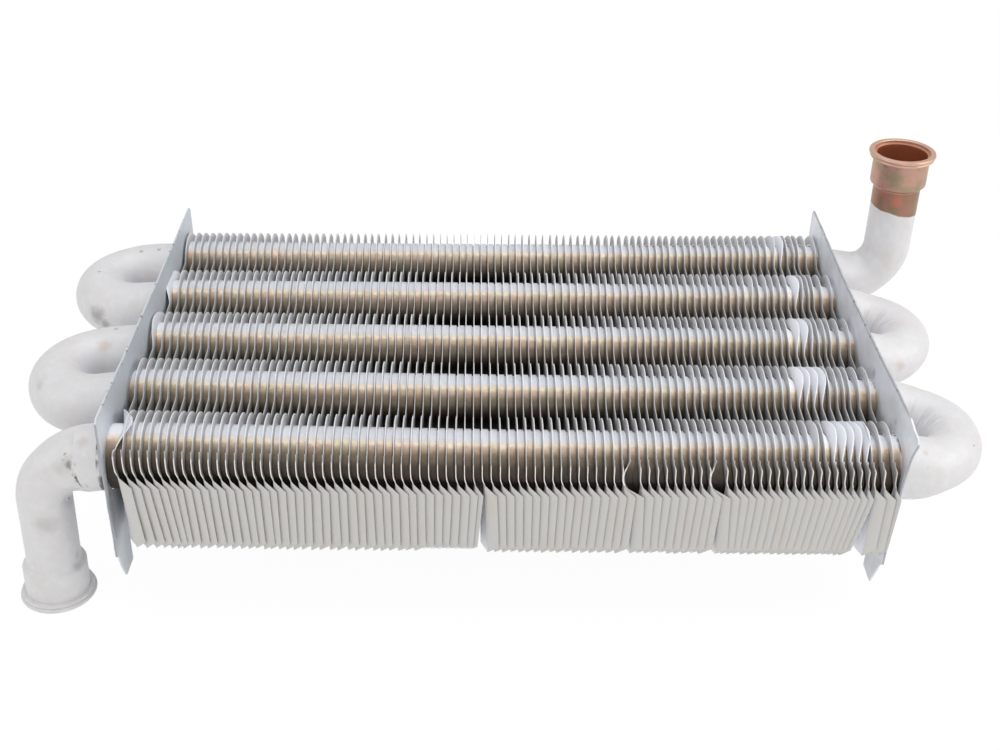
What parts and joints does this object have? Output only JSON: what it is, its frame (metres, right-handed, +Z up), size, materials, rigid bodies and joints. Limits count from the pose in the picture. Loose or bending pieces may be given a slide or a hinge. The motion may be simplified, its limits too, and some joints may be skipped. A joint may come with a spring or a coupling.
{
  "type": "boiler heat exchanger",
  "caption": "Gas boiler heat exchanger: finned tube rows between two footed end plates, joined in turn by bends, with a socket inlet pointing down and a socket outlet pointing up.",
  "frame": {"origin": "centre of the bounding box's bottom, under the middle of the finned block and level with the inlet's downward mouth", "axes": "+X along the tubes from the inlet's end to the outlet's end, +Y from row 1 at the front to row 5 at the back, +Z up"},
  "size_m": [0.3204, 0.1558, 0.106],
  "materials": {
    "end_plate": "matte silver heat-resistant paint on copper sheet",
    "tube": "matte silver heat-resistant paint on copper tube",
    "fitting": "matte silver heat-resistant paint on copper fittings",
    "fin": "matte silver heat-resistant paint on thin copper fins"
  },
  "bodies": {
    "root": {"left_end_plate": "end_plate", "right_end_plate": "end_plate", "row_1_tube": "tube", "rows_2_3_hairpin_tube": "tube", "rows_4_5_hairpin_tube": "tube", "rows_1_2_return_bend": "fitting", "rows_3_4_return_bend": "fitting", "inlet_elbow": "fitting", "outlet_elbow": "fitting", "fins_01_to_07": "fin", "fins_08_to_14": "fin", "fins_15_to_21": "fin", "fins_22_to_28": "fin", "fins_29_to_35": "fin", "fins_36_to_42": "fin", "fins_43_to_49": "fin", "fins_50_to_56": "fin", "fins_57_to_63": "fin", "fins_64_to_70": "fin", "fins_71_to_77": "fin", "fins_78_to_84": "fin", "fins_85_to_91": "fin"}
  },
  "joints": []
}
